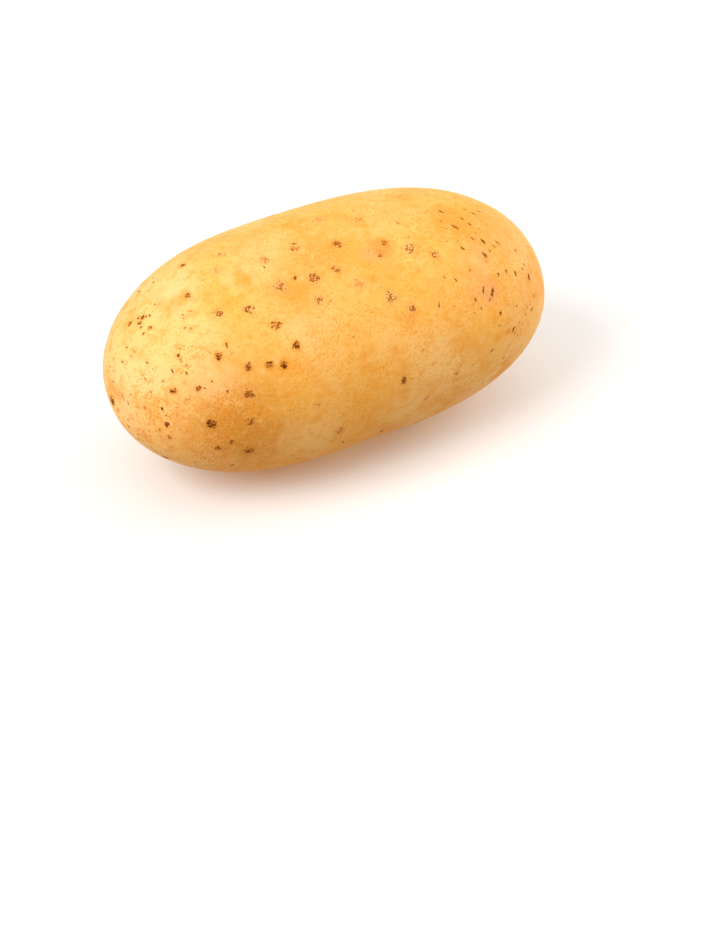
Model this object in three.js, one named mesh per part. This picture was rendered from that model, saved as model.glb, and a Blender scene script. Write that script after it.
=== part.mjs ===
// A whole potato lying on its side: one tuber, grown as one piece, with shallow eyes and a small stem scar.
// Millimetres, +Z up, +X along the tuber from its stem end to its bud end, origin at the middle of its footprint.
import * as THREE from "three";
import { mergeVertices } from "three/addons/utils/BufferGeometryUtils.js";

// Driving dimensions of the smooth tuber, before its swellings and hollows.
const HALF_LENGTH = 52.5;
const HALF_WIDTH = 29.2;
const HALF_HEIGHT = 25.3;

// How square each end is: 2 is an ellipse's end, and more is blunter.
const STEM_END_FULLNESS = 2.2;
const BUD_END_FULLNESS = 2.5;

// The middle is a little slimmer than the two ends. Places are in half lengths from the middle.
const WAIST_DEPTH = 0.045;
const WAIST_AT = -0.1;
const WAIST_REACH = 0.45;

// How far the tips of the tuber curve to the back (+Y) and upwards (+Z).
const SIDE_BEND = -0.8;
const UPWARD_BEND = 0.3;

// How the tuber is tipped end to end as it lies, and how deep its resting spot is pressed flat.
const REST_TIP_DEG = 0.6;
const FLAT_DEPTH = 0.4;

// Cells of the surface grid, along the tuber and round it.
const CELLS_ALONG = 36;
const CELLS_ROUND = 22;

// Broad swellings: where they are along the tuber, how many degrees round it from the back (+Y) over the
// top (+Z), how high they stand, and how far they reach in radians as seen from the middle.
const SWELLINGS = [
  { along: -0.46, round: 63, height: 1.9, reach: 0.5 },
  { along: 0.46, round: 27, height: 1.0, reach: 0.55 },
  { along: -0.57, round: 251, height: 1.2, reach: 0.55 },
  { along: 0.3, round: 330, height: 0.8, reach: 0.3 },
];

// Shallow eyes, which wind round the tuber and crowd towards its bud end: the hollow round each one is wide
// and hardly deep. The first three are on the side that faces up and forwards.
const EYE_REACH = 2.6;
const EYES = [
  { along: 0.14, round: 112, depth: 0.3 },
  { along: 0.55, round: 131, depth: 0.7 },
  { along: 0.51, round: 152, depth: 0.8 },
  { along: 0.02, round: 222, depth: 0.9 },
  { along: 0.6, round: 236, depth: 0.8 },
  { along: 0.84, round: 64, depth: 0.7 },
  { along: 0.52, round: 18, depth: 0.9 },
  { along: -0.22, round: 4, depth: 0.8 },
  { along: 0.72, round: 310, depth: 0.8 },
  { along: -0.62, round: 318, depth: 0.7 },
  { along: 0.985, round: 190, depth: 0.9 },
];

// The scar at the tip of the stem end, where the tuber broke from its runner.
const STEM_SCAR_REACH = 2.4;
const STEM_SCAR = { along: -0.997, round: 315, depth: 1.0 };

const skinMaterial = new THREE.MeshStandardMaterial({ color: 0xe2b268, roughness: 0.55, metalness: 0 });

const radians = THREE.MathUtils.degToRad;

// The direction from the tuber's middle to a place on its skin.
function directionTo({ along, round }) {
  const across = Math.sqrt(1 - along * along);
  return new THREE.Vector3(along, across * Math.cos(radians(round)), across * Math.sin(radians(round)));
}

// The smooth tuber's skin in a given direction: a long rounded body, blunter at one end, slimmer in the middle.
function smoothSkin({ x, y, z }) {
  const towardsBud = THREE.MathUtils.smoothstep(x, -1, 1);
  const fullness = THREE.MathUtils.lerp(STEM_END_FULLNESS, BUD_END_FULLNESS, towardsBud);
  const reach = (Math.abs(x) ** fullness + Math.hypot(y, z) ** fullness) ** (-1 / fullness);
  const along = x * reach;
  const girth = reach * (1 - WAIST_DEPTH * Math.exp(-(((along - WAIST_AT) / WAIST_REACH) ** 2)));
  return new THREE.Vector3(HALF_LENGTH * along, HALF_WIDTH * y * girth, HALF_HEIGHT * z * girth);
}

// Moves a point of the skin out by a swelling's height, fading with the angle from the swelling's middle.
function swell(point, direction, swelling) {
  const nearness = Math.exp((direction.dot(directionTo(swelling)) - 1) / swelling.reach ** 2);
  point.addScaledVector(direction, swelling.height * nearness);
}

// Moves a point of the skin in by a hollow's depth, fading with the distance from the hollow's middle.
function sink(point, direction, hollow, reach) {
  const away = smoothSkin(direction).distanceTo(smoothSkin(directionTo(hollow)));
  point.addScaledVector(direction, -hollow.depth * Math.exp(-((away / reach) ** 2) / 2));
}

// Curves the tips of the tuber to the side and upwards.
function bend(point) {
  const BEND_CENTRE = 0.35;
  const towardsTip = (point.x / HALF_LENGTH) ** 2 - BEND_CENTRE;
  point.y += SIDE_BEND * towardsTip;
  point.z += UPWARD_BEND * towardsTip;
}

function skinPoint(direction) {
  const point = smoothSkin(direction);
  for (const swelling of SWELLINGS) swell(point, direction, swelling);
  for (const eye of EYES) sink(point, direction, eye, EYE_REACH);
  sink(point, direction, STEM_SCAR, STEM_SCAR_REACH);
  bend(point);
  return point;
}

// A closed grid of even cells: a box whose six faces are blown up into the tuber's skin.
function tuberSkin() {
  const box = new THREE.BoxGeometry(2, 2, 2, CELLS_ALONG, CELLS_ROUND, CELLS_ROUND);
  box.deleteAttribute("normal");
  box.deleteAttribute("uv");
  const skin = mergeVertices(box);
  const corners = skin.getAttribute("position");
  const evenly = (place) => Math.tan((place * Math.PI) / 4);
  for (let i = 0; i < corners.count; i++) {
    const direction = new THREE.Vector3(evenly(corners.getX(i)), evenly(corners.getY(i)), evenly(corners.getZ(i)));
    const point = skinPoint(direction.normalize());
    corners.setXYZ(i, point.x, point.y, point.z);
  }
  return skin.rotateY(radians(REST_TIP_DEG));
}

// Sets the tuber down: its footprint's middle over the origin, and its lowest skin pressed flat at Z = 0.
function setDown(skin) {
  skin.computeBoundingBox();
  const { min, max } = skin.boundingBox;
  skin.translate(-(min.x + max.x) / 2, -(min.y + max.y) / 2, -min.z - FLAT_DEPTH);
  const corners = skin.getAttribute("position");
  for (let i = 0; i < corners.count; i++) corners.setZ(i, Math.max(corners.getZ(i), 0));
  skin.computeVertexNormals();
  return skin;
}

const potato = new THREE.Mesh(setDown(tuberSkin()), skinMaterial);
potato.name = "potato";

const group = new THREE.Group();
group.add(potato);
export default group;
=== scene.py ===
"""A whole raw potato, lying on its side: one tuber with shallow eyes, a stem scar and corky spots."""

import math

import bmesh
import bpy
from mathutils import Matrix, Vector
from mathutils.bvhtree import BVHTree


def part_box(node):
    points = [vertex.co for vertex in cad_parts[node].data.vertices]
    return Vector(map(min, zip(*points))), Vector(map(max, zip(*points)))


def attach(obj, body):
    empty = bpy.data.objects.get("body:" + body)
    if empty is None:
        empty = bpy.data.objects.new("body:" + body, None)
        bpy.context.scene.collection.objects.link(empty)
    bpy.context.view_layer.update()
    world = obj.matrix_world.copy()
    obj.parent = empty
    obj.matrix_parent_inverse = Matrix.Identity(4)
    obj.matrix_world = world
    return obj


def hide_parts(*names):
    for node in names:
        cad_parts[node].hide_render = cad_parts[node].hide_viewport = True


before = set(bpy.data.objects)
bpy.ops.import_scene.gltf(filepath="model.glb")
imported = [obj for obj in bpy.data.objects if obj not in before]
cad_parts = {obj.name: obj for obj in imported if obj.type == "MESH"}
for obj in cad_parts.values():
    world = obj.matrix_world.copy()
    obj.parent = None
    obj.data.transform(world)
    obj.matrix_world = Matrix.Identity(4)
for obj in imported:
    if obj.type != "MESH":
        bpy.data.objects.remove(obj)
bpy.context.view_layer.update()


# ---------------------------------------------------------------------------------------------------------
# The tuber: skin and flesh, grown as one piece. Its form is the design's own, copied as a net of four-sided
# faces so that it can be smoothed, with the small flat spot that it lies on.

MM = 0.001
LOW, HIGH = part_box("potato")
MIDDLE = (LOW + HIGH) / 2
HALF_SIZE = (HIGH - LOW) / 2
SAME_POINT = 0.01 * MM


def four_sided_copy(node, name):
    """Copies a node of the design into a new object, and joins its loose triangles into four-sided faces."""
    form = bmesh.new()
    form.from_mesh(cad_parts[node].data)
    bmesh.ops.remove_doubles(form, verts=form.verts, dist=SAME_POINT)
    bmesh.ops.join_triangles(
        form,
        faces=form.faces,
        angle_face_threshold=math.pi,
        angle_shape_threshold=math.pi,
    )
    mesh = bpy.data.meshes.new(name)
    form.to_mesh(mesh)
    form.free()
    copy = bpy.data.objects.new(name, mesh)
    bpy.context.scene.collection.objects.link(copy)
    return copy


tuber = four_sided_copy("potato", "tuber")
skin_finder = BVHTree.FromObject(tuber, bpy.context.evaluated_depsgraph_get())


def place_on_skin(along, round_deg):
    """A point of the skin: a share of the way along from the middle, and degrees round from the back."""
    across = math.sqrt(1 - along * along)
    turn = math.radians(round_deg)
    way = Vector((along, across * math.cos(turn), across * math.sin(turn))) * HALF_SIZE
    return skin_finder.ray_cast(MIDDLE, way.normalized())[0]


# ---------------------------------------------------------------------------------------------------------
# Eyes, corky spots and cracks: where they lie on the skin. A spot is a breathing pore that corked over in
# wet soil, and a crack is a short split that healed brown. Those that show most are listed here, and the rest
# are scattered when the skin is finished.

# Each line starts with how far along the tuber (-1 stem end, 1 bud end), and degrees round from the back
# over the top. For an eye come half its width in millimetres, and how strong its bloom is from 0 to 1.
EYES = [
    (0.14, 112, 1.1, 0.4),
    (0.55, 131, 0.8, 0.6),
    (0.51, 152, 1.1, 0.6),
    (0.02, 222, 1.0, 0.9),
    (0.60, 236, 0.9, 0.9),
    (0.84, 64, 0.9, 0.9),
    (0.52, 18, 1.0, 0.9),
    (-0.22, 4, 1.0, 0.9),
    (0.72, 310, 0.9, 0.9),
    (-0.62, 318, 0.8, 0.9),
    (0.985, 190, 1.0, 0.9),
]

# For a spot: half its width in millimetres, and how dark it is from 0 to 1.
SPOTS = [
    (-0.66, 136, 0.80, 0.95),
    (-0.58, 147, 0.88, 1.00),
    (-0.51, 149, 0.78, 0.95),
    (-0.46, 151, 0.85, 0.95),
    (-0.39, 144, 0.85, 0.85),
    (-0.43, 131, 1.00, 0.70),
    (-0.49, 119, 1.15, 0.55),
    (-0.59, 114, 1.10, 0.50),
    (-0.63, 95, 0.80, 0.75),
    (-0.54, 73, 0.70, 0.75),
    (-0.42, 82, 0.80, 0.40),
    (-0.48, 91, 1.10, 0.10),
    (-0.32, 97, 1.20, 0.40),
    (-0.34, 114, 1.50, 0.50),
    (-0.20, 116, 1.30, 0.65),
    (-0.23, 127, 1.10, 0.50),
    (-0.18, 97, 1.00, 0.45),
    (-0.17, 94, 0.60, 0.55),
    (-0.09, 115, 1.00, 0.65),
    (-0.01, 102, 1.05, 0.70),
    (-0.03, 126, 1.15, 0.20),
    (0.07, 137, 1.20, 0.50),
    (0.14, 145, 0.95, 0.50),
    (0.26, 117, 1.15, 0.50),
    (0.34, 124, 0.95, 0.60),
    (0.29, 101, 0.50, 0.50),
    (0.16, 91, 1.20, 0.20),
    (0.18, 110, 0.70, 0.80),
    (0.13, 116, 0.60, 0.75),
    (0.09, 113, 1.20, 0.15),
    (0.02, 82, 1.20, 0.15),
    (-0.60, 161, 1.10, 0.58),
    (-0.74, 177, 1.05, 1.00),
    (-0.61, 178, 0.95, 0.70),
    (-0.71, 198, 0.65, 0.80),
    (-0.67, 191, 0.45, 0.70),
    (-0.60, 200, 1.05, 0.90),
    (-0.84, 149, 0.75, 0.90),
    (-0.76, 151, 0.60, 0.75),
    (-0.76, 121, 0.50, 0.45),
    (-0.78, 126, 0.35, 0.95),
    (-0.71, 111, 0.50, 0.50),
    (-0.79, 84, 0.65, 1.00),
    (-0.77, 88, 0.35, 0.80),
    (-0.81, 85, 0.55, 0.90),
    (-0.80, 81, 0.40, 0.95),
    (-0.78, 86, 0.35, 0.90),
    (-0.82, 89, 0.35, 0.75),
    (-0.80, 96, 0.45, 0.85),
    (-0.83, 76, 0.50, 0.85),
    (-0.83, 95, 0.35, 0.55),
    (-0.89, 98, 0.80, 0.20),
    (-0.91, 100, 0.55, 0.25),
    (-0.91, 124, 0.55, 0.12),
    (-0.93, 149, 0.35, 0.60),
    (-0.94, 164, 0.45, 0.35),
    (-0.96, 165, 0.50, 0.25),
    (-0.99, 136, 0.45, 0.70),
    (-0.88, 181, 0.50, 1.00),
    (-0.90, 190, 0.45, 0.50),
    (-0.87, 196, 0.60, 0.60),
    (-0.83, 237, 0.70, 1.00),
    (-0.93, 241, 0.40, 0.70),
    (-0.97, 239, 0.35, 0.80),
    (-0.98, 219, 0.30, 0.50),
    (-0.99, 276, 0.50, 0.50),
    (-0.99, 314, 0.95, 0.90),
]

# For a crack: half its width in millimetres, how many times longer it is, and how dark from 0 to 1. A crack
# at an eye is the dark line along its brow.
CRACKS = [
    (0.50, 100, 0.22, 2.6, 0.90),
    (0.52, 95, 0.18, 1.8, 0.50),
    (0.60, 94, 0.16, 1.6, 0.60),
    (0.61, 100, 0.16, 2.4, 0.60),
    (0.69, 91, 0.15, 2.2, 0.40),
    (0.67, 102, 0.20, 2.2, 1.00),
    (0.63, 104, 0.18, 3.6, 0.90),
    (0.57, 112, 0.22, 1.8, 0.70),
    (0.60, 116, 0.14, 3.0, 0.50),
    (0.50, 112, 0.26, 2.6, 0.90),
    (0.46, 112, 0.16, 1.8, 0.40),
    (0.54, 121, 0.20, 2.4, 0.75),
    (0.58, 124, 0.25, 2.2, 0.95),
    (0.64, 127, 0.16, 4.5, 0.75),
    (0.59, 130, 0.20, 1.4, 0.60),
    (0.47, 125, 0.22, 2.0, 1.00),
    (0.71, 134, 0.24, 1.2, 0.60),
    (0.56, 132, 0.42, 1.6, 0.65),
    (0.45, 137, 0.20, 1.4, 0.45),
    (0.57, 144, 0.20, 1.8, 0.80),
    (0.61, 144, 0.24, 1.8, 0.60),
    (0.65, 147, 0.24, 2.2, 0.80),
    (0.70, 146, 0.20, 1.6, 0.50),
    (0.72, 144, 0.16, 1.8, 0.75),
    (0.72, 153, 0.23, 2.8, 1.00),
    (0.82, 133, 0.18, 2.0, 0.60),
    (0.85, 135, 0.18, 2.0, 0.80),
    (0.48, 149, 0.20, 3.0, 0.85),
    (0.52, 152, 0.36, 2.4, 0.80),
    (0.50, 155, 0.22, 1.6, 0.60),
    (0.33, 136, 0.20, 1.3, 0.60),
    (0.26, 148, 0.18, 2.6, 0.60),
    (0.44, 157, 0.20, 1.3, 0.60),
    (0.40, 158, 0.16, 1.0, 0.50),
    (0.52, 164, 0.24, 1.8, 0.85),
    (0.69, 173, 0.24, 1.7, 0.85),
    (0.72, 166, 0.30, 1.3, 0.30),
    (0.02, 221, 0.30, 4.0, 0.70),
    (0.60, 235, 0.28, 3.5, 0.75),
    (0.84, 65, 0.30, 3.5, 0.80),
    (0.52, 19, 0.32, 3.5, 0.65),
    (-0.22, 5, 0.28, 4.0, 0.60),
    (0.72, 309, 0.28, 3.5, 0.80),
    (-0.62, 317, 0.30, 3.0, 0.60),
    (0.98, 188, 0.32, 3.5, 0.90),
    (0.99, 150, 0.22, 3.0, 0.70),
    (0.97, 225, 0.24, 3.0, 0.65),
    (-0.34, 101, 0.16, 1.8, 1.00),
    (-0.63, 61, 0.18, 1.5, 0.70),
    (-0.65, 66, 0.18, 1.5, 0.90),
    (-0.70, 58, 0.22, 2.0, 0.80),
    (-0.67, 157, 0.20, 1.0, 0.60),
    (-0.67, 193, 0.20, 1.6, 0.65),
    (-0.63, 217, 0.25, 1.8, 0.70),
    (-0.71, 149, 0.14, 1.6, 0.60),
    (-0.74, 152, 0.14, 1.4, 0.70),
    (-0.77, 134, 0.14, 1.3, 0.60),
    (-0.78, 139, 0.18, 1.8, 0.65),
    (-0.82, 134, 0.15, 3.0, 0.80),
    (-0.86, 139, 0.22, 1.2, 0.40),
    (-0.88, 171, 0.20, 1.0, 0.75),
    (-0.89, 164, 0.24, 1.1, 1.00),
    (-0.91, 145, 0.15, 1.4, 0.60),
    (-0.90, 88, 0.20, 1.0, 0.70),
    (-0.94, 92, 0.20, 1.5, 0.55),
    (-0.97, 142, 0.18, 1.0, 0.65),
    (-0.99, 69, 0.22, 1.2, 0.65),
]

AS_LONG_AS_WIDE = 1.0


def marker_points(name, marks):
    """Puts a loose point on the skin for each mark. It carries the mark's half width, stretch and tone."""
    mesh = bpy.data.meshes.new(name)
    mesh.from_pydata([place_on_skin(along, round_deg) for along, round_deg, *_ in marks], [], [])
    carried = {
        "half_width": [half_width * MM for _, _, half_width, _, _ in marks],
        "stretch": [stretch for _, _, _, stretch, _ in marks],
        "tone": [tone for _, _, _, _, tone in marks],
    }
    for label, values in carried.items():
        mesh.attributes.new(label, "FLOAT", "POINT").data.foreach_set("value", values)
    points = bpy.data.objects.new(name, mesh)
    bpy.context.scene.collection.objects.link(points)
    return points


def as_round_marks(marks):
    """Eyes and spots as lines like a crack's: they are as long as they are wide."""
    return [
        (along, round_deg, half_width, AS_LONG_AS_WIDE, tone)
        for along, round_deg, half_width, tone in marks
    ]


eye_points = marker_points("eye_points", as_round_marks(EYES))
spot_points = marker_points("spot_points", as_round_marks(SPOTS))
crack_points = marker_points("crack_points", CRACKS)


# ---------------------------------------------------------------------------------------------------------
# The finished skin: the form smoothed, with every spot, crack and eye laid on it. Each face of the skin
# takes the mark that is nearest, its corners learn where they lie on that mark, and low crusts and the eyes'
# buds are raised.


def step(tree, kind, inputs=None, **settings):
    """Adds one node to a tree: its settings, and for each input a value or the output that feeds it."""
    node = tree.nodes.new(kind)
    for name, value in settings.items():
        setattr(node, name, value)
    for socket, value in (inputs or {}).items():
        if isinstance(value, bpy.types.NodeSocket):
            tree.links.new(value, node.inputs[socket])
        else:
            node.inputs[socket].default_value = value
    return node


def maths(tree, operation, *values, clamp=False):
    node = step(tree, "ShaderNodeMath", dict(enumerate(values)), operation=operation, use_clamp=clamp)
    return node.outputs[0]


def total(tree, *parts):
    """The sum of the parts, each of which is a value, or a value and what it is multiplied by."""
    result = 0.0
    for part in parts:
        if isinstance(part, tuple):
            part = maths(tree, "MULTIPLY", *part)
        result = maths(tree, "ADD", part, result)
    return result


def vectors(tree, operation, *values):
    node = step(tree, "ShaderNodeVectorMath", dict(enumerate(values)), operation=operation)
    return node.outputs["Value" if operation in ("DOT_PRODUCT", "LENGTH", "DISTANCE") else "Vector"]


def scaled(tree, vector, by):
    node = step(tree, "ShaderNodeVectorMath", {0: vector, "Scale": by}, operation="SCALE")
    return node.outputs["Vector"]


def part_of(tree, vector, axis):
    return step(tree, "ShaderNodeSeparateXYZ", {0: vector}).outputs[axis]


def fade(tree, value, start, end, low=0.0, high=1.0):
    """A smooth change from low to high as the value goes from start to end."""
    node = step(
        tree,
        "ShaderNodeMapRange",
        {"Value": value, "From Min": start, "From Max": end, "To Min": low, "To Max": high},
        interpolation_type="SMOOTHERSTEP",
    )
    return node.outputs[0]


def clouds(tree, place, size, detail=1.0, roughness=0.5, seed=0.0):
    """Soft noise around 0.5, whose patches are about the given size across in the units of the place."""
    moved = vectors(tree, "ADD", place, (seed, seed * 0.7, -seed))
    settings = {"Vector": moved, "Scale": 1.0 / size, "Detail": detail, "Roughness": roughness}
    return step(tree, "ShaderNodeTexNoise", settings).outputs[0]


def new_tree(name, kind, inputs, outputs):
    """Starts a node group and gives it its named inputs and outputs. An input is a name, kind and value."""
    tree = bpy.data.node_groups.new(name, kind)
    for label, socket, value in inputs:
        made = tree.interface.new_socket(label, in_out="INPUT", socket_type="NodeSocket" + socket)
        if value is not None:
            made.default_value = value
    for label, socket in outputs:
        tree.interface.new_socket(label, in_out="OUTPUT", socket_type="NodeSocket" + socket)
    return tree, tree.nodes.new("NodeGroupInput").outputs, tree.nodes.new("NodeGroupOutput").inputs


def labelled(tree, geometry, domain="POINT", kind="FLOAT", **values):
    """Stores each value on the geometry under its own name."""
    for label, value in values.items():
        geometry = step(
            tree,
            "GeometryNodeStoreNamedAttribute",
            {"Geometry": geometry, "Name": label, "Value": value},
            data_type=kind,
            domain=domain,
        ).outputs[0]
    return geometry


def worked_out_for(tree, value, kind, domain):
    """A value as it is worked out for whole points or whole faces."""
    return step(
        tree, "GeometryNodeFieldOnDomain", {"Value": value}, data_type=kind, domain=domain
    ).outputs[0]


def mark_laying_group(mark):
    """Tells the corners of each face where they lie on the nearest mark, in half lengths and half widths."""
    tree, given, result = new_tree(
        "lay_" + mark,
        "GeometryNodeTree",
        [("Skin", "Geometry", None), ("Marks", "Geometry", None)],
        [("Skin", "Geometry")],
    )
    marks = given["Marks"]
    place = tree.nodes.new("GeometryNodeInputPosition").outputs[0]
    normal = tree.nodes.new("GeometryNodeInputNormal").outputs[0]
    outward = worked_out_for(tree, normal, "FLOAT_VECTOR", "POINT")
    search = step(tree, "GeometryNodeSampleNearest", {"Geometry": marks, "Sample Position": place})
    nearest = worked_out_for(tree, search.outputs[0], "INT", "FACE")

    def of_nearest(value, kind="FLOAT"):
        inputs = {"Geometry": marks, "Value": value, "Index": nearest}
        return step(tree, "GeometryNodeSampleIndex", inputs, data_type=kind).outputs[0]

    def carried(label):
        node = step(tree, "GeometryNodeInputNamedAttribute", {"Name": label}, data_type="FLOAT")
        return of_nearest(node.outputs[0])

    # Where the corner lies across the tuber and along it, as seen from the mark, then turned as the mark is.
    away = vectors(tree, "SUBTRACT", place, of_nearest(place, "FLOAT_VECTOR"))
    sideways = vectors(tree, "NORMALIZE", vectors(tree, "CROSS_PRODUCT", outward, (1.0, 0.0, 0.0)))
    lengthways = vectors(tree, "CROSS_PRODUCT", sideways, outward)
    across = vectors(tree, "DOT_PRODUCT", away, sideways)
    along = vectors(tree, "DOT_PRODUCT", away, lengthways)
    turn = carried("turn")
    cosine = maths(tree, "COSINE", turn)
    sine = maths(tree, "SINE", turn)
    turned_across = total(tree, (across, cosine), (along, sine))
    turned_along = maths(
        tree,
        "SUBTRACT",
        maths(tree, "MULTIPLY", along, cosine),
        maths(tree, "MULTIPLY", across, sine),
    )

    half_width = carried("half_width")
    half_length = maths(tree, "MULTIPLY", half_width, carried("stretch"))
    offset = step(
        tree,
        "ShaderNodeCombineXYZ",
        {
            "X": maths(tree, "DIVIDE", turned_across, half_length),
            "Y": maths(tree, "DIVIDE", turned_along, half_width),
        },
    ).outputs[0]
    skin = labelled(tree, given["Skin"], "CORNER", "FLOAT_VECTOR", **{mark + "_offset": offset})
    skin = labelled(tree, skin, "CORNER", "FLOAT", **{mark + "_tone": carried("tone")})
    tree.links.new(skin, result["Skin"])
    return tree


def between(tree, low, high, seed):
    """A different number for each point, between two limits."""
    limits = {2: low, 3: high, "Seed": seed}
    return step(tree, "FunctionNodeRandomValue", limits, data_type="FLOAT").outputs[1]


# How far a listed mark may sway from the turn that it is given, in radians.
HAND_SWAY = 0.25


def placed(tree, marks, turn=0.0):
    """The listed marks, each of them turned, and a little more or less at random."""
    source = step(tree, "GeometryNodeObjectInfo", {"Object": marks})
    points = step(tree, "GeometryNodeMeshToPoints", {"Mesh": source.outputs["Geometry"]}).outputs[0]
    sway = between(tree, -HAND_SWAY, HAND_SWAY, seed=6)
    return labelled(tree, points, turn=maths(tree, "ADD", turn, sway))


def distance_to(tree, points):
    node = step(tree, "GeometryNodeProximity", {0: points}, target_element="POINTS")
    return node.outputs["Distance"]


MOST_MARKS_PER_SQUARE_METRE = 300000.0


def scattered(tree, form, spacing, share, seed, clear_of, clearance):
    """Points strewn over the form, none nearer to the ones already placed than so many spacings."""
    strewn = step(
        tree,
        "GeometryNodeDistributePointsOnFaces",
        {
            "Mesh": form,
            "Distance Min": spacing,
            "Density Max": MOST_MARKS_PER_SQUARE_METRE,
            "Density Factor": share,
            "Seed": seed,
        },
        distribute_method="POISSON",
    ).outputs["Points"]
    least = maths(tree, "MULTIPLY", spacing, clearance)
    too_close = maths(tree, "LESS_THAN", distance_to(tree, clear_of), least)
    kept = step(
        tree, "GeometryNodeDeleteGeometry", {"Geometry": strewn, "Selection": too_close}, domain="POINT"
    )
    return kept.outputs[0]


def together(tree, *sets):
    join = step(tree, "GeometryNodeJoinGeometry")
    for points in sets:
        tree.links.new(points, join.inputs[0])
    return join.outputs[0]


FEWER_SPOTS_FROM = 8 * MM
HARDLY_ANY_SPOTS_FROM = 22 * MM


def all_spots(tree, given, form, along):
    """The listed spots, and others well clear of them, which are rare at the bud end."""
    chosen = placed(tree, given["Spots by hand"])
    share = fade(tree, along, HARDLY_ANY_SPOTS_FROM, FEWER_SPOTS_FROM, low=0.05, high=0.5)
    seed = maths(tree, "ADD", given["Seed"], 1)
    others = labelled(
        tree,
        scattered(tree, form, given["Spot spacing"], share, seed, clear_of=chosen, clearance=1.2),
        half_width=maths(tree, "MULTIPLY", given["Spot half width"], between(tree, 0.5, 1.5, seed=7)),
        tone=between(tree, 0.1, 1.0, seed=8),
        stretch=between(tree, 0.8, 1.3, seed=9),
        turn=between(tree, -0.8, 0.8, seed=10),
    )
    return together(tree, chosen, others)


# Where each end of the tuber begins for the cracks, and from where on it counts in full.
BUD_END_FROM, BUD_END_FULLY_FROM = 12 * MM, 30 * MM
STEM_END_FROM, STEM_END_FULLY_FROM = -20 * MM, -46 * MM

# How cracks lean at the bud end, in radians, on the top and low on the front, and where along Y the one
# lean ends and the other begins. Away from the bud end a crack slants either way, by this much at most.
TOP_LEAN, FRONT_LEAN = -0.45, 0.8
TOP_UNTIL, FRONT_FROM = -14 * MM, -25 * MM
MOST_SLANT = 1.3


def all_cracks(tree, given, form, place, along):
    """The listed cracks, and others: crowded at the bud end, fewer at the stem end, and rare between them.

    At the bud end they run across the tuber, leaning one way on the top and the other way low on the front.
    Elsewhere they slant at random.
    """
    at_bud_end = fade(tree, along, BUD_END_FROM, BUD_END_FULLY_FROM)
    at_stem_end = fade(tree, along, STEM_END_FROM, STEM_END_FULLY_FROM)
    to_the_back = part_of(tree, place, "Y")
    bud_end_lean = fade(tree, to_the_back, TOP_UNTIL, FRONT_FROM, low=TOP_LEAN, high=FRONT_LEAN)
    lean = maths(tree, "MULTIPLY", at_bud_end, bud_end_lean)
    slant = maths(tree, "SUBTRACT", MOST_SLANT, at_bud_end)
    chosen = placed(tree, given["Cracks by hand"], lean)

    crowds = fade(tree, clouds(tree, place, size=9 * MM), 0.4, 0.62)
    share = total(tree, (at_bud_end, 0.5), (at_stem_end, 0.25), 0.04)
    share = maths(tree, "MULTIPLY", share, crowds)
    seed = maths(tree, "ADD", given["Seed"], 2)
    mostly_low = maths(tree, "POWER", between(tree, 0.0, 1.0, seed=13), 2.0)
    others = labelled(
        tree,
        scattered(tree, form, given["Crack spacing"], share, seed, clear_of=chosen, clearance=1.0),
        half_width=maths(tree, "MULTIPLY", given["Crack half width"], between(tree, 0.6, 1.2, seed=11)),
        tone=maths(tree, "POWER", between(tree, 0.1, 0.9, seed=12), 2.0),
        stretch=maths(tree, "ADD", mostly_low, between(tree, 1.0, 2.0, seed=15)),
        turn=total(tree, lean, (slant, between(tree, -1.0, 1.0, seed=14))),
    )
    return together(tree, chosen, others)


CRUST_REACH = 1.3 * MM
BUD_REACH = 1.8 * MM
RESTS_BELOW = 0.1 * MM
UNEVEN_FROM = 1.5 * MM


def relief_height(tree, given, place, spots, eyes):
    """How far the skin is raised: low rough crusts, a slight rise at each bud, and its own unevenness."""

    def nearness(points, reach):
        return fade(tree, distance_to(tree, points), reach, 0.2 * reach)

    roughness = clouds(tree, place, size=1.1 * MM, detail=2.0)
    crust = maths(tree, "MULTIPLY", nearness(spots, CRUST_REACH), maths(tree, "ADD", roughness, 0.2))
    rolling = total(
        tree,
        (clouds(tree, place, size=13 * MM), 0.7),
        (clouds(tree, place, size=4 * MM, seed=3 * MM), 0.3),
        -0.5,
    )
    height = total(
        tree,
        (crust, given["Crust height"]),
        (nearness(eyes, BUD_REACH), given["Eye height"]),
        (rolling, given["Unevenness"]),
    )
    above_resting_spot = fade(tree, part_of(tree, place, "Z"), RESTS_BELOW, UNEVEN_FROM)
    return maths(tree, "MULTIPLY", height, above_resting_spot)


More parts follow.
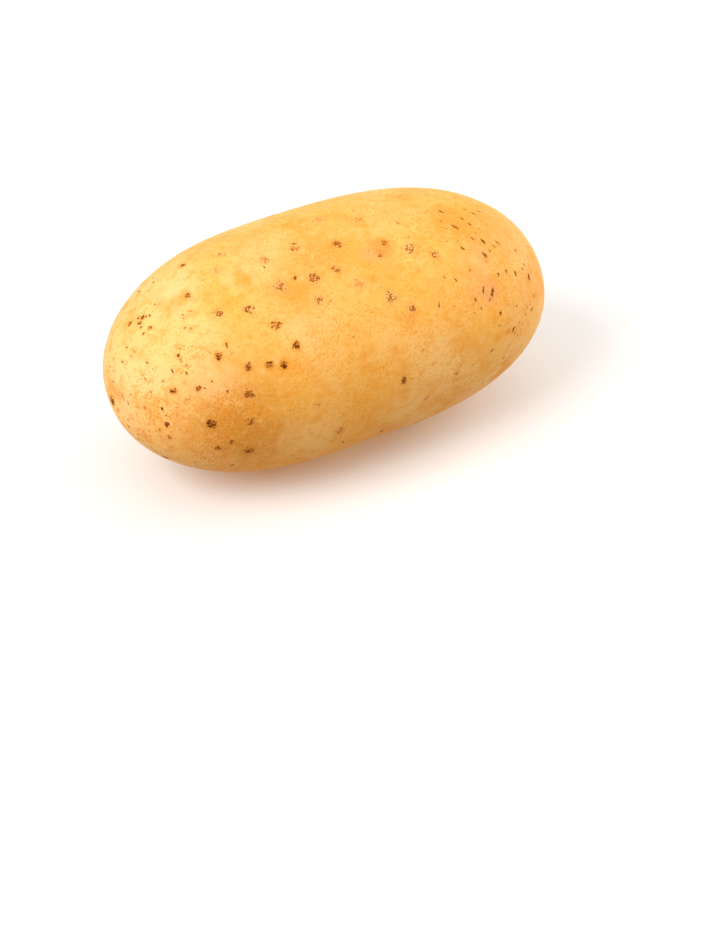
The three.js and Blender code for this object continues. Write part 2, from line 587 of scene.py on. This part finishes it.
def skin_tree():
    """Smooths the form, lays every mark on it and raises the relief."""
    tree, given, result = new_tree(
        "finish_skin",
        "GeometryNodeTree",
        [
            ("Form", "Geometry", None),
            ("Smoothing", "Int", 2),
            ("Eyes by hand", "Object", None),
            ("Spots by hand", "Object", None),
            ("Cracks by hand", "Object", None),
            ("Spot spacing", "Float", 8 * MM),
            ("Spot half width", "Float", 0.85 * MM),
            ("Crack spacing", "Float", 1.3 * MM),
            ("Crack half width", "Float", 0.2 * MM),
            ("Crust height", "Float", 0.1 * MM),
            ("Eye height", "Float", 0.12 * MM),
            ("Unevenness", "Float", 0.2 * MM),
            ("Seed", "Int", 4),
            ("Skin", "Material", None),
        ],
        [("Skin", "Geometry")],
    )
    smoothed = step(
        tree, "GeometryNodeSubdivisionSurface", {"Mesh": given["Form"], "Level": given["Smoothing"]}
    ).outputs[0]
    form = step(tree, "GeometryNodeSetShadeSmooth", {"Geometry": smoothed}).outputs[0]
    place = tree.nodes.new("GeometryNodeInputPosition").outputs[0]
    outward = tree.nodes.new("GeometryNodeInputNormal").outputs[0]
    along = part_of(tree, place, "X")

    spots = all_spots(tree, given, form, along)
    cracks = all_cracks(tree, given, form, place, along)
    eyes = placed(tree, given["Eyes by hand"])
    skin = form
    for mark, points in (("spot", spots), ("crack", cracks), ("eye", eyes)):
        laid = step(tree, "GeometryNodeGroup", node_tree=mark_laying_group(mark))
        tree.links.new(skin, laid.inputs["Skin"])
        tree.links.new(points, laid.inputs["Marks"])
        skin = laid.outputs[0]

    rise = scaled(tree, outward, relief_height(tree, given, place, spots, eyes))
    raised = step(tree, "GeometryNodeSetPosition", {"Geometry": skin, "Offset": rise}).outputs[0]
    real = step(tree, "GeometryNodeRealizeInstances", {"Geometry": raised}).outputs[0]
    coated = step(tree, "GeometryNodeSetMaterial", {"Geometry": real, "Material": given["Skin"]}).outputs[0]
    tree.links.new(coated, result["Skin"])
    return tree


# ---------------------------------------------------------------------------------------------------------
# The skin's look: a thin golden layer over pale flesh, mottled from straw to orange and freckled in crowds,
# with a painted highlight towards the stem end and painted shade low on the front. Each corky spot and crack
# is a crust, pale to rusty, with brown flecks in it, and a pinkish bloom lies round it and in the eyes.


def seen_as(red, green, blue):
    """A colour given as it looks on a screen, made linear for the shader by the usual screen curve."""
    shares = (red / 255, green / 255, blue / 255)
    linear = [share / 12.92 if share <= 0.04045 else ((share + 0.055) / 1.055) ** 2.4 for share in shares]
    return (*linear, 1.0)


STRAW = seen_as(249, 198, 122)
GOLD = seen_as(244, 180, 82)
AMBER = seen_as(238, 154, 50)
OCHRE = seen_as(212, 138, 38)
PAINTED_HIGHLIGHT_CREAM = seen_as(252, 206, 144)
BLOOM = seen_as(242, 166, 94)
PALE_CRUST = seen_as(246, 188, 108)
RUST = seen_as(204, 112, 26)
CORK = seen_as(152, 76, 6)
DARK_CORK = seen_as(100, 34, 0)

# Broad patches of colour: along and round as for the marks, reach in millimetres, strength and colour. Most
# are tints of the skin, but the two ochre ones low on the front are painted shade and the cream ones near
# the stem end are painted highlights.
PATCHES_OF_TINT_AND_PAINTED_LIGHT = [
    # The two ochre patches low on the front are painted shade, darker and more orange.
    (-0.67, 175, 19, 0.90, OCHRE),
    (-0.60, 197, 13, 0.50, OCHRE),
    (-0.85, 193, 10, 0.30, AMBER),
    (-0.31, 119, 10, 0.90, AMBER),
    (-0.06, 104, 14, 0.75, AMBER),
    (-0.32, 80, 9, 0.40, AMBER),
    (0.28, 92, 10, 0.40, AMBER),
    (0.52, 110, 12, 1.00, AMBER),
    (-0.24, 104, 8, 0.45, AMBER),
    (0.10, 121, 8, 0.40, AMBER),
    (0.68, 118, 14, 0.70, AMBER),
    (0.72, 160, 9, 0.55, AMBER),
    (0.10, 113, 5, 0.60, BLOOM),
    (0.16, 111, 4, 1.90, RUST),
    (0.49, 141, 12, 0.50, BLOOM),
    (0.51, 150, 4, 0.60, BLOOM),
    # The cream patches near the stem end are painted highlights.
    (-0.66, 91, 9, 0.50, PAINTED_HIGHLIGHT_CREAM),
    (-0.43, 101, 8, 0.50, PAINTED_HIGHLIGHT_CREAM),
    (-0.97, 130, 14, 0.65, PAINTED_HIGHLIGHT_CREAM),
    (-0.71, 149, 8, 0.50, PAINTED_HIGHLIGHT_CREAM),
]

# The stem end has a scurfy side, coarse and much freckled, and beside it a clean one. Here are along and
# round of the middle of each, and how many millimetres from there it ends and is at its strongest.
SCURFY_SIDE = (-0.75, 195)
SCURFY_REACH = (26.0, 8.0)
CLEAN_SIDE = (-0.48, 88)
CLEAN_REACH = (20.0, 6.0)

# For each kind of mark, how much of its tone shows, how strong the bloom round it is, and the settings of
# its flecks and its ragged edge.
MARK_LOOKS = {
    "spot": (1.0, 0.35, {"Grain scale": 2.6, "Lump scale": 0.9, "Lumpiness": 0.6, "Fullness": 0.045}),
    "crack": (0.95, 0.3, {"Grain scale": 3.5, "Lump scale": 4.5, "Lumpiness": 1.4, "Fullness": 0.22}),
}


def blend(tree, share, below, above):
    """Mixes two colours: each is a colour or the output of an earlier mix."""
    node = step(tree, "ShaderNodeMix", {0: share, 6: below, 7: above}, data_type="RGBA", clamp_factor=True)
    return node.outputs[2]


def stored(tree, label, output="Fac"):
    return step(tree, "ShaderNodeAttribute", attribute_name=label).outputs[output]


def distance_from(tree, place, along, round_deg):
    """How many millimetres a point is from a place on the skin."""
    return vectors(tree, "DISTANCE", place, place_on_skin(along, round_deg) / MM)


def ground_colour(tree, place, mottle, grain, scurfy, clean):
    """Broad soft patches, paler towards the stem end as a painted highlight, then patches of tint, painted
    shade and painted highlight, then blotches, mottle and grain.
    """
    broad = clouds(tree, place, size=24.0)
    blotches = clouds(tree, place, size=8.0, detail=3.0, roughness=0.6, seed=21.0)
    # The stem end is made paler here: a painted highlight, not a tint of the skin.
    at_stem_end = fade(tree, part_of(tree, place, "X"), -22.0, -50.0, high=0.3)
    pale_tint_and_painted_highlight = maths(tree, "ADD", broad, at_stem_end)
    colour = blend(tree, fade(tree, pale_tint_and_painted_highlight, 0.35, 0.75), GOLD, STRAW)
    for along, round_deg, reach, strength, tint in PATCHES_OF_TINT_AND_PAINTED_LIGHT:
        distance = distance_from(tree, place, along, round_deg)
        ragged = total(tree, distance, (blotches, 0.8 * reach), -0.4 * reach)
        colour = blend(tree, fade(tree, ragged, reach, 0.0, high=strength), colour, tint)

    darker = blend(tree, maths(tree, "MULTIPLY", scurfy, 0.45), AMBER, RUST)
    coarseness = fade(tree, clouds(tree, place, size=9.0, seed=41.0), 0.35, 0.65, low=0.25, high=1.0)
    coarseness = total(tree, coarseness, (scurfy, 0.1), (clean, -0.35))
    dark_grain = maths(tree, "MULTIPLY", fade(tree, grain, 0.48, 0.7, high=0.8), coarseness)
    colour = blend(tree, fade(tree, blotches, 0.43, 0.8, high=0.9), colour, AMBER)
    colour = blend(tree, fade(tree, mottle, 0.47, 0.75, high=0.6), colour, darker)
    colour = blend(tree, fade(tree, mottle, 0.5, 0.25, high=0.5), colour, STRAW)
    colour = blend(tree, dark_grain, colour, darker)
    return blend(tree, fade(tree, grain, 0.5, 0.3, high=0.3), colour, STRAW)


def freckles(tree, place, spacing, largest, crowding):
    """Round specks no larger than the given radius, kept to the places where the crowding is high."""
    smallest = 0.4 * largest
    cells = step(tree, "ShaderNodeTexVoronoi", {"Vector": place, "Scale": 1.0 / spacing}, feature="F1")
    lot = step(tree, "ShaderNodeSeparateColor", {0: cells.outputs["Color"]}).outputs
    radius = fade(tree, lot[1], 0.0, 1.0, low=smallest / spacing, high=largest / spacing)
    speck = fade(tree, maths(tree, "DIVIDE", cells.outputs["Distance"], radius), 1.1, 0.5)
    kept = fade(tree, maths(tree, "ADD", lot[0], crowding), 1.15, 1.25)
    return maths(tree, "MULTIPLY", speck, kept)


def freckled(tree, colour, place, scurfy, clean):
    """Adds tiny brown specks that come in crowds, fine ones and a few larger."""
    crowds = total(tree, clouds(tree, place, size=9.0, seed=31.0), (scurfy, 0.22), (clean, -0.15))
    fine = freckles(tree, place, spacing=0.9, largest=0.2, crowding=crowds)
    large = freckles(tree, place, spacing=2.6, largest=0.3, crowding=crowds)
    colour = blend(tree, maths(tree, "MULTIPLY", fine, 0.45), colour, RUST)
    return blend(tree, maths(tree, "MULTIPLY", large, 0.6), colour, CORK)


def bloomed_eyes(tree, colour, mottle):
    """Adds a wide pinkish bloom round the bud of each eye."""
    distance = vectors(tree, "LENGTH", stored(tree, "eye_offset", "Vector"))
    ragged = total(tree, distance, (mottle, 2.0), -1.0)
    bloom = maths(tree, "MULTIPLY", fade(tree, ragged, 4.2, 1.0), stored(tree, "eye_tone"))
    return blend(tree, maths(tree, "MULTIPLY", bloom, 0.8), colour, BLOOM)


# A fleck shows faintly from the first chance on and fully from the second. The crust and the bloom end at
# the first distance and are full within the second, in half widths of the mark.
FLECK_CHANCES = (0.48, 0.66)
CRUST_EDGE = (1.25, 0.5)
BLOOM_EDGE = (2.4, 0.8)


def corky_mark_group():
    """What a mark is like at one point of the skin: its brown flecks, its crust, and the bloom round it."""
    tree, given, result = new_tree(
        "corky_mark",
        "ShaderNodeTree",
        [
            ("Offset", "Vector", (0.0, 0.0, 0.0)),
            ("Tone", "Float", 0.5),
            ("Place", "Vector", (0.0, 0.0, 0.0)),
            ("Grain scale", "Float", 2.5),
            ("Lump scale", "Float", 0.9),
            ("Lumpiness", "Float", 0.8),
            ("Fullness", "Float", 0.0),
        ],
        [("Flecks", "Float"), ("Crust", "Float"), ("Bloom", "Float")],
    )

    def noise(scale):
        settings = {"Vector": given["Place"], "Scale": given[scale], "Detail": 1.0}
        return step(tree, "ShaderNodeTexNoise", settings).outputs[0]

    lumps = maths(tree, "SUBTRACT", noise("Lump scale"), 0.5)
    lumps = maths(tree, "MULTIPLY", lumps, given["Lumpiness"])
    distance = vectors(tree, "LENGTH", given["Offset"])
    ragged = maths(tree, "SUBTRACT", distance, lumps)
    fleck_chance = total(
        tree,
        noise("Grain scale"),
        lumps,
        given["Fullness"],
        (given["Tone"], 0.08),
        (maths(tree, "MULTIPLY", distance, distance), -0.2),
        fade(tree, distance, 0.2, 0.8, high=0.07),
    )
    tree.links.new(fade(tree, fleck_chance, *FLECK_CHANCES), result["Flecks"])
    tree.links.new(fade(tree, ragged, *CRUST_EDGE), result["Crust"])
    tree.links.new(fade(tree, ragged, *BLOOM_EDGE), result["Bloom"])
    return tree


def corky_marks(tree, colour, place, mark, corky_mark):
    """Adds the spots or the cracks: bloom, then crust, then flecks, all stronger on the darker ones."""
    tone_share, bloom_share, settings = MARK_LOOKS[mark]
    tone = maths(tree, "MULTIPLY", stored(tree, mark + "_tone"), tone_share)
    offset = stored(tree, mark + "_offset", "Vector")
    inputs = {"Offset": offset, "Tone": tone, "Place": place, **settings}
    seen = step(tree, "ShaderNodeGroup", inputs, node_tree=corky_mark).outputs

    bloom_colour = blend(tree, fade(tree, tone, 0.4, 0.9), BLOOM, OCHRE)
    bloom = maths(tree, "MULTIPLY", seen["Bloom"], bloom_share)
    colour = blend(tree, bloom, colour, bloom_colour)

    crust_colour = blend(tree, fade(tree, tone, 0.35, 0.95), PALE_CRUST, RUST)
    crust_colour = blend(tree, fade(tree, tone, 0.8, 1.1), crust_colour, CORK)
    crust = maths(tree, "MULTIPLY", seen["Crust"], fade(tree, tone, 0.0, 1.0, low=0.35, high=0.7))
    colour = blend(tree, crust, colour, crust_colour)

    fleck_colour = blend(tree, fade(tree, tone, 0.2, 0.6), RUST, CORK)
    fleck_colour = blend(tree, fade(tree, tone, 0.6, 1.0), fleck_colour, DARK_CORK)
    flecks = maths(tree, "MULTIPLY", seen["Flecks"], fade(tree, tone, 0.0, 0.7, low=0.58, high=0.95))
    return blend(tree, flecks, colour, fleck_colour), seen


def potato_skin():
    """The skin's material: satin, thin enough for some light to pass, and rougher where it is corky."""
    material = bpy.data.materials.new("potato_skin")
    material.use_nodes = True
    tree = material.node_tree
    place = scaled(tree, tree.nodes.new("ShaderNodeTexCoord").outputs["Object"], 1 / MM)
    mottle = clouds(tree, place, size=2.2, detail=3.0, roughness=0.6, seed=11.0)
    grain = clouds(tree, place, size=0.45, detail=1.0, seed=5.0)
    scurfy = fade(tree, distance_from(tree, place, *SCURFY_SIDE), *SCURFY_REACH)
    clean = fade(tree, distance_from(tree, place, *CLEAN_SIDE), *CLEAN_REACH)

    colour = ground_colour(tree, place, mottle, grain, scurfy, clean)
    colour = freckled(tree, colour, place, scurfy, clean)
    colour = bloomed_eyes(tree, colour, mottle)
    corky_mark = corky_mark_group()
    colour, spots = corky_marks(tree, colour, place, "spot", corky_mark)
    colour, cracks = corky_marks(tree, colour, place, "crack", corky_mark)

    crusts = maths(tree, "ADD", spots["Crust"], cracks["Crust"], clamp=True)
    roughness = fade(tree, total(tree, (crusts, 0.6), mottle), 0.3, 1.3, low=0.45, high=0.8)
    relief = total(
        tree,
        (spots["Flecks"], 0.12),
        (cracks["Flecks"], -0.08),
        (grain, 0.04),
        (mottle, 0.1),
    )
    bump = step(tree, "ShaderNodeBump", {"Strength": 0.6, "Distance": MM, "Height": relief})

    shader = tree.nodes["Principled BSDF"].inputs
    tree.links.new(colour, shader["Base Color"])
    tree.links.new(roughness, shader["Roughness"])
    tree.links.new(bump.outputs[0], shader["Normal"])
    shader["Specular IOR Level"].default_value = 0.08
    shader["Subsurface Weight"].default_value = 0.08
    shader["Subsurface Radius"].default_value = (1.0, 0.45, 0.15)
    shader["Subsurface Scale"].default_value = 1.5 * MM
    shader["Sheen Weight"].default_value = 0.06
    shader["Sheen Roughness"].default_value = 0.5
    shader["Sheen Tint"].default_value = seen_as(255, 210, 150)
    return material


# ---------------------------------------------------------------------------------------------------------
# The whole potato: the skin finished on the tuber's form, as one plain mesh in the tuber's own place. It
# stands for the design's potato, and nothing is fixed to it.


def finish_skin(form, name):
    """Runs the skin's tree on the form and makes its result a plain mesh."""
    modifier = form.modifiers.new("finish_skin", "NODES")
    modifier.node_group = skin_tree()
    choices = {
        "Eyes by hand": eye_points,
        "Spots by hand": spot_points,
        "Cracks by hand": crack_points,
        "Skin": potato_skin(),
    }
    for item in modifier.node_group.interface.items_tree:
        if item.in_out == "INPUT" and item.name in choices:
            modifier[item.identifier] = choices[item.name]
    evaluated = form.evaluated_get(bpy.context.evaluated_depsgraph_get())
    mesh = bpy.data.meshes.new_from_object(evaluated)
    mesh.name = name
    finished = bpy.data.objects.new(name, mesh)
    bpy.context.scene.collection.objects.link(finished)
    return finished


potato = finish_skin(tuber, "whole_potato")
for helper in (tuber, eye_points, spot_points, crack_points):
    bpy.data.objects.remove(helper)
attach(potato, "root")
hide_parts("potato")


# ---------------------------------------------------------------------------------------------------------
# The studio: a plain white surface, a large soft light high on the left, a weaker one low on the right, and a
# pale room all round whose lower part is warm, as light that comes up from a pale table is.

FLOOR_HALF = 2.0
FLOOR_CORNERS = ((-1, -1), (1, -1), (1, 1), (-1, 1))
FLOOR_WHITE = (0.9, 0.9, 0.9, 1.0)
FLOOR_ROUGHNESS = 0.9
WARM = (1.0, 0.7, 0.36, 1.0)
PALE = (1.0, 0.99, 0.97, 1.0)

floor_mesh = bpy.data.meshes.new("floor")
floor_mesh.from_pydata([(x * FLOOR_HALF, y * FLOOR_HALF, 0.0) for x, y in FLOOR_CORNERS], [], [(0, 1, 2, 3)])
floor = bpy.data.objects.new("floor", floor_mesh)
bpy.context.scene.collection.objects.link(floor)
white_surface = bpy.data.materials.new("white_surface")
white_surface.use_nodes = True
paper = white_surface.node_tree.nodes["Principled BSDF"].inputs
paper["Base Color"].default_value = FLOOR_WHITE
paper["Roughness"].default_value = FLOOR_ROUGHNESS
floor.data.materials.append(white_surface)

# The surface sends no light of its own up to the potato: the warm lower part of the room does that.
floor.visible_diffuse = False

room = bpy.data.worlds.new("pale_room")
room.use_nodes = True
air = room.node_tree
background = air.nodes["Background"]

# The way that the light comes from: -1 is straight below, 0 level and 1 straight above.
upwards = part_of(air, air.nodes.new("ShaderNodeTexCoord").outputs["Generated"], "Z")
warm_to_pale = blend(air, fade(air, upwards, -0.6, 0.0), WARM, PALE)
dim_to_bright = fade(air, upwards, -0.3, 0.5, low=0.52, high=0.8)
air.links.new(warm_to_pale, background.inputs["Color"])
air.links.new(dim_to_bright, background.inputs["Strength"])
bpy.context.scene.world = room


def soft_light(name, place, size, watts, colour):
    """A square area light that faces the potato."""
    lamp = bpy.data.lights.new(name, "AREA")
    lamp.size = size
    lamp.energy = watts
    lamp.color = colour
    holder = bpy.data.objects.new(name, lamp)
    holder.location = place
    holder.rotation_euler = (MIDDLE - Vector(place)).to_track_quat("-Z", "Y").to_euler()
    bpy.context.scene.collection.objects.link(holder)


soft_light("window", place=(-0.82, -0.08, 0.7), size=0.7, watts=9.0, colour=(1.0, 0.98, 0.95))
soft_light("fill", place=(0.9, -0.05, 0.3), size=0.8, watts=6.5, colour=(1.0, 0.97, 0.93))


# ---------------------------------------------------------------------------------------------------------
# The camera: above and to the left of the stem end, with a long lens. It is turned a little down and to the
# right, which puts the potato high and to the left in the frame.

LOOK_DOWN = math.radians(32)
LOOK_ROUND = math.radians(-33.2)
DISTANCE = 0.7
FOCAL_MM = 121.0
SENSOR_MM = 36.0
TURN_RIGHT = math.radians(0.64)
TURN_DOWN = math.radians(2.66)

lens = bpy.data.cameras.new("camera")
lens.lens = FOCAL_MM
lens.sensor_width = SENSOR_MM
camera = bpy.data.objects.new("camera", lens)
bpy.context.scene.collection.objects.link(camera)
backwards = Vector(
    (
        math.sin(LOOK_ROUND) * math.cos(LOOK_DOWN),
        -math.cos(LOOK_ROUND) * math.cos(LOOK_DOWN),
        math.sin(LOOK_DOWN),
    )
)
camera.location = MIDDLE + backwards * DISTANCE
aim = (-backwards).to_track_quat("-Z", "Y").to_matrix().to_4x4()
aim = aim @ Matrix.Rotation(-TURN_RIGHT, 4, "Y") @ Matrix.Rotation(-TURN_DOWN, 4, "X")
camera.rotation_euler = aim.to_euler()
bpy.context.scene.camera = camera

# The picture keeps the colours as they are set.
bpy.context.scene.view_settings.view_transform = "Standard"
